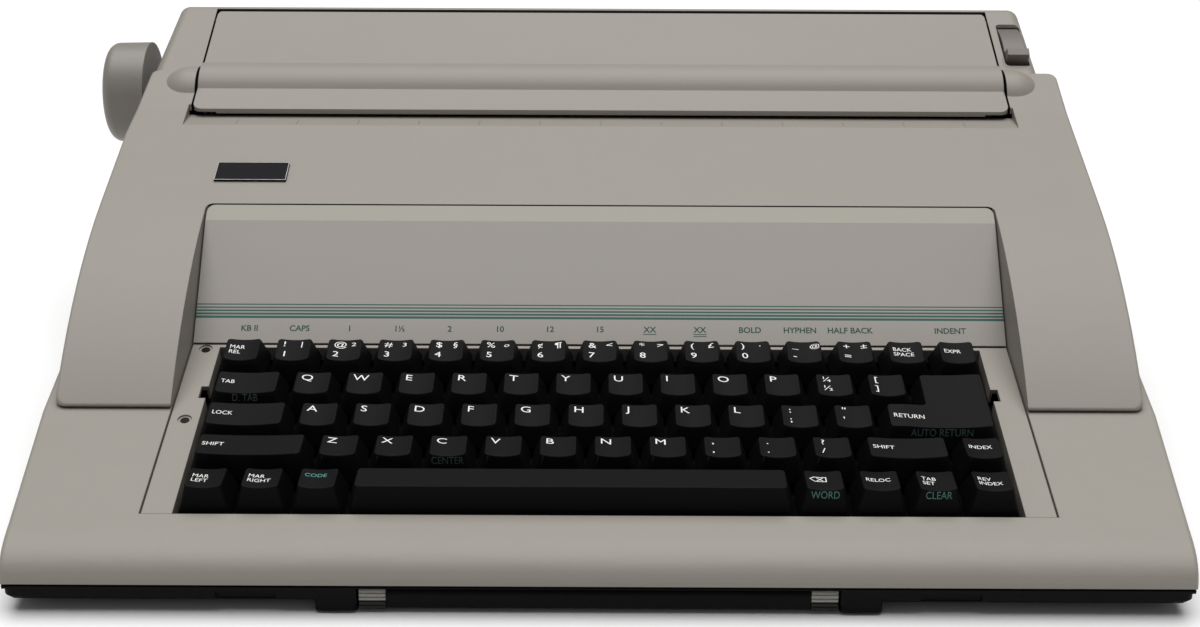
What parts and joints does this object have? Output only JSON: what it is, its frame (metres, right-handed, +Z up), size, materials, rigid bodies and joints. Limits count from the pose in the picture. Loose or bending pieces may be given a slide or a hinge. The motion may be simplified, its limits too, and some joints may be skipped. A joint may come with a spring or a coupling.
{
  "type": "electronic typewriter",
  "caption": "Low portable electronic typewriter with a dark keyboard in a pale case, a hinged platen cover, a platen knob on the left and a slide-out carrying handle.",
  "frame": {"origin": "centre of the footprint, with the platen knob, at table height", "axes": "+X to the typist's right, +Y from the front edge to the back, +Z up"},
  "size_m": [0.4176, 0.3524, 0.1243],
  "materials": {
    "case_plastic": "fine spark texture",
    "panel_plastic": "fine matt",
    "tray_black": "matt",
    "key_black": "fine matt",
    "knob_grey": "satin",
    "lever_grey": "satin",
    "arm_grey": "satin",
    "lens_dark": "clear tinted",
    "badge_dark": "satin",
    "steel": "zinc plated",
    "rubber": "ground",
    "gear_white": "moulded",
    "board_green": "lacquered",
    "motor_case": "satin",
    "cassette_grey": "fine matt"
  },
  "bodies": {
    "case": {"badge_plate": "badge_dark", "base_tray": "tray_black", "carriage_motor": "motor_case", "case_screws": "steel", "guide_rails": "steel", "indicator_lenses": "lens_dark", "keyboard_bezel": "panel_plastic", "keyboard_board": "board_green", "keyboard_plate": "tray_black", "line_feed_motor": "motor_case", "main_board": "board_green", "mains_inlet": "tray_black", "paper_pan": "steel", "rubber_feet": "rubber", "side_plates": "steel", "stripe_panel": "panel_plastic", "timing_belt": "rubber", "transformer": "motor_case", "upper_case": "case_plastic"},
    "handle": {"handle_grip": "tray_black", "handle_arms": "arm_grey"},
    "cover": {"top_cover": "case_plastic"},
    "platen": {"platen_shaft": "steel", "platen_roller": "rubber", "platen_knob": "knob_grey"},
    "idler": {"idler_gear": "gear_white"},
    "pinion": {"feed_pinion": "gear_white"},
    "feed": {"feed_roller": "rubber"},
    "paper_release": {"release_lever": "lever_grey"},
    "carriage": {"carriage_frame": "tray_black", "wheel_motor": "motor_case", "ribbon_cassette": "cassette_grey"},
    "wheel": {"type_wheel": "tray_black"},
    "striker": {"hammer": "steel"},
    "left_spool": {"left_tape_spool": "gear_white"},
    "right_spool": {"right_tape_spool": "gear_white"},
    "drive_pulley": {"drive_pulley": "gear_white"},
    "return_pulley": {"return_pulley": "gear_white"},
    "rocker": {"power_rocker": "key_black"},
    "backspace_key": {"backspace_key": "key_black"},
    "code_key": {"code_key": "key_black"},
    "correct_key": {"correct_key": "key_black"},
    "express_key": {"express_key": "key_black"},
    "home_letter_keys": {"home_letter_keys": "key_black"},
    "index_key": {"index_key": "key_black"},
    "left_margin_key": {"left_margin_key": "key_black"},
    "left_shift_key": {"left_shift_key": "key_black"},
    "lock_key": {"lock_key": "key_black"},
    "lower_letter_keys": {"lower_letter_keys": "key_black"},
    "margin_release_key": {"margin_release_key": "key_black"},
    "number_keys": {"number_keys": "key_black"},
    "relocate_key": {"relocate_key": "key_black"},
    "return_key": {"return_key": "key_black"},
    "reverse_index_key": {"reverse_index_key": "key_black"},
    "right_margin_key": {"right_margin_key": "key_black"},
    "right_shift_key": {"right_shift_key": "key_black"},
    "space_bar": {"space_bar": "key_black"},
    "tab_key": {"tab_key": "key_black"},
    "tab_set_key": {"tab_set_key": "key_black"},
    "upper_letter_keys": {"upper_letter_keys": "key_black"}
  },
  "joints": [
    {"name": "handle_slide", "type": "slide", "parent": "case", "child": "handle", "axis": [0, -1, 0], "range_m": [0, 0.042]},
    {"name": "cover_hinge", "type": "hinge", "parent": "case", "child": "cover", "pos_m": [0.00765, 0.1232, 0.11942], "axis": [-1, 0, 0], "range_deg": [0, 110]},
    {"name": "platen_turn", "type": "hinge", "parent": "case", "child": "platen", "pos_m": [0.00765, 0.098, 0.094], "axis": [1, 0, 0], "continuous": true},
    {"name": "idler_turn", "type": "hinge", "parent": "case", "child": "idler", "pos_m": [-0.16395, 0.08076, 0.06939], "axis": [1, 0, 0], "continuous": true},
    {"name": "pinion_turn", "type": "hinge", "parent": "case", "child": "pinion", "pos_m": [-0.16395, 0.07567, 0.04896], "axis": [1, 0, 0], "continuous": true},
    {"name": "feed_turn", "type": "hinge", "parent": "case", "child": "feed", "pos_m": [0.00765, 0.09037, 0.07305], "axis": [1, 0, 0], "continuous": true},
    {"name": "release_swing", "type": "hinge", "parent": "case", "child": "paper_release", "pos_m": [0.18465, 0.11435, 0.08305], "axis": [-1, 0, 0], "range_deg": [0, 24]},
    {"name": "carriage_slide", "type": "slide", "parent": "case", "child": "carriage", "axis": [1, 0, 0], "range_m": [-0.113, 0.113]},
    {"name": "wheel_turn", "type": "hinge", "parent": "carriage", "child": "wheel", "pos_m": [0.00765, 0.0755, 0.061], "axis": [0, 1, 0], "continuous": true},
    {"name": "hammer_strike", "type": "slide", "parent": "carriage", "child": "striker", "axis": [0, 1, 0], "range_m": [0, 0.0016], "stiffness_N_per_m": 200, "springref_m": -0.0005},
    {"name": "left_spool_turn", "type": "hinge", "parent": "carriage", "child": "left_spool", "pos_m": [-0.01835, 0.058, 0.054], "axis": [0, 1, 0], "continuous": true},
    {"name": "right_spool_turn", "type": "hinge", "parent": "carriage", "child": "right_spool", "pos_m": [0.03365, 0.058, 0.054], "axis": [0, 1, 0], "continuous": true},
    {"name": "drive_pulley_turn", "type": "hinge", "parent": "case", "child": "drive_pulley", "pos_m": [-0.14835, 0.046, 0.02], "axis": [0, 0, 1], "range_deg": [-820, 820]},
    {"name": "return_pulley_turn", "type": "hinge", "parent": "case", "child": "return_pulley", "pos_m": [0.16365, 0.046, 0.02], "axis": [0, 0, 1], "range_deg": [-820, 820]},
    {"name": "rocker_tilt", "type": "hinge", "parent": "case", "child": "rocker", "pos_m": [0.13965, 0.169, 0.034], "axis": [0, 0, 1], "range_deg": [-6, 6]},
    {"name": "backspace_key_press", "type": "slide", "parent": "case", "child": "backspace_key", "axis": [0, 0.1891, -0.982], "range_m": [0, 0.0036], "stiffness_N_per_m": 150, "springref_m": -0.0015},
    {"name": "code_key_press", "type": "slide", "parent": "case", "child": "code_key", "axis": [0, 0.1891, -0.982], "range_m": [0, 0.0036], "stiffness_N_per_m": 150, "springref_m": -0.0015},
    {"name": "correct_key_press", "type": "slide", "parent": "case", "child": "correct_key", "axis": [0, 0.1891, -0.982], "range_m": [0, 0.0036], "stiffness_N_per_m": 150, "springref_m": -0.0015},
    {"name": "express_key_press", "type": "slide", "parent": "case", "child": "express_key", "axis": [0, 0.1891, -0.982], "range_m": [0, 0.0036], "stiffness_N_per_m": 150, "springref_m": -0.0015},
    {"name": "home_letter_row_press", "type": "slide", "parent": "case", "child": "home_letter_keys", "axis": [0, 0.1891, -0.982], "range_m": [0, 0.0036], "stiffness_N_per_m": 600, "springref_m": -0.0015},
    {"name": "index_key_press", "type": "slide", "parent": "case", "child": "index_key", "axis": [0, 0.1891, -0.982], "range_m": [0, 0.0036], "stiffness_N_per_m": 150, "springref_m": -0.0015},
    {"name": "left_margin_key_press", "type": "slide", "parent": "case", "child": "left_margin_key", "axis": [0, 0.1891, -0.982], "range_m": [0, 0.0036], "stiffness_N_per_m": 150, "springref_m": -0.0015},
    {"name": "left_shift_key_press", "type": "slide", "parent": "case", "child": "left_shift_key", "axis": [0, 0.1891, -0.982], "range_m": [0, 0.0036], "stiffness_N_per_m": 150, "springref_m": -0.0015},
    {"name": "lock_key_press", "type": "slide", "parent": "case", "child": "lock_key", "axis": [0, 0.1891, -0.982], "range_m": [0, 0.0036], "stiffness_N_per_m": 150, "springref_m": -0.0015},
    {"name": "lower_letter_row_press", "type": "slide", "parent": "case", "child": "lower_letter_keys", "axis": [0, 0.1891, -0.982], "range_m": [0, 0.0036], "stiffness_N_per_m": 600, "springref_m": -0.0015},
    {"name": "margin_release_key_press", "type": "slide", "parent": "case", "child": "margin_release_key", "axis": [0, 0.1891, -0.982], "range_m": [0, 0.0036], "stiffness_N_per_m": 150, "springref_m": -0.0015},
    {"name": "number_row_press", "type": "slide", "parent": "case", "child": "number_keys", "axis": [0, 0.1891, -0.982], "range_m": [0, 0.0036], "stiffness_N_per_m": 600, "springref_m": -0.0015},
    {"name": "relocate_key_press", "type": "slide", "parent": "case", "child": "relocate_key", "axis": [0, 0.1891, -0.982], "range_m": [0, 0.0036], "stiffness_N_per_m": 150, "springref_m": -0.0015},
    {"name": "return_key_press", "type": "slide", "parent": "case", "child": "return_key", "axis": [0, 0.1891, -0.982], "range_m": [0, 0.0036], "stiffness_N_per_m": 150, "springref_m": -0.0015},
    {"name": "reverse_index_key_press", "type": "slide", "parent": "case", "child": "reverse_index_key", "axis": [0, 0.1891, -0.982], "range_m": [0, 0.0036], "stiffness_N_per_m": 150, "springref_m": -0.0015},
    {"name": "right_margin_key_press", "type": "slide", "parent": "case", "child": "right_margin_key", "axis": [0, 0.1891, -0.982], "range_m": [0, 0.0036], "stiffness_N_per_m": 150, "springref_m": -0.0015},
    {"name": "right_shift_key_press", "type": "slide", "parent": "case", "child": "right_shift_key", "axis": [0, 0.1891, -0.982], "range_m": [0, 0.0036], "stiffness_N_per_m": 150, "springref_m": -0.0015},
    {"name": "space_bar_press", "type": "slide", "parent": "case", "child": "space_bar", "axis": [0, 0.1891, -0.982], "range_m": [0, 0.0036], "stiffness_N_per_m": 150, "springref_m": -0.0015},
    {"name": "tab_key_press", "type": "slide", "parent": "case", "child": "tab_key", "axis": [0, 0.1891, -0.982], "range_m": [0, 0.0036], "stiffness_N_per_m": 150, "springref_m": -0.0015},
    {"name": "tab_set_key_press", "type": "slide", "parent": "case", "child": "tab_set_key", "axis": [0, 0.1891, -0.982], "range_m": [0, 0.0036], "stiffness_N_per_m": 150, "springref_m": -0.0015},
    {"name": "upper_letter_row_press", "type": "slide", "parent": "case", "child": "upper_letter_keys", "axis": [0, 0.1891, -0.982], "range_m": [0, 0.0036], "stiffness_N_per_m": 600, "springref_m": -0.0015}
  ],
  "couplings": [
    {"joint": "idler_turn", "follows": "platen_turn", "ratio": -1},
    {"joint": "pinion_turn", "follows": "platen_turn", "ratio": 2.5},
    {"joint": "feed_turn", "follows": "platen_turn", "ratio": -2.6667},
    {"joint": "drive_pulley_turn", "follows": "carriage_slide", "rad_per_m": -125},
    {"joint": "return_pulley_turn", "follows": "carriage_slide", "rad_per_m": -125}
  ]
}
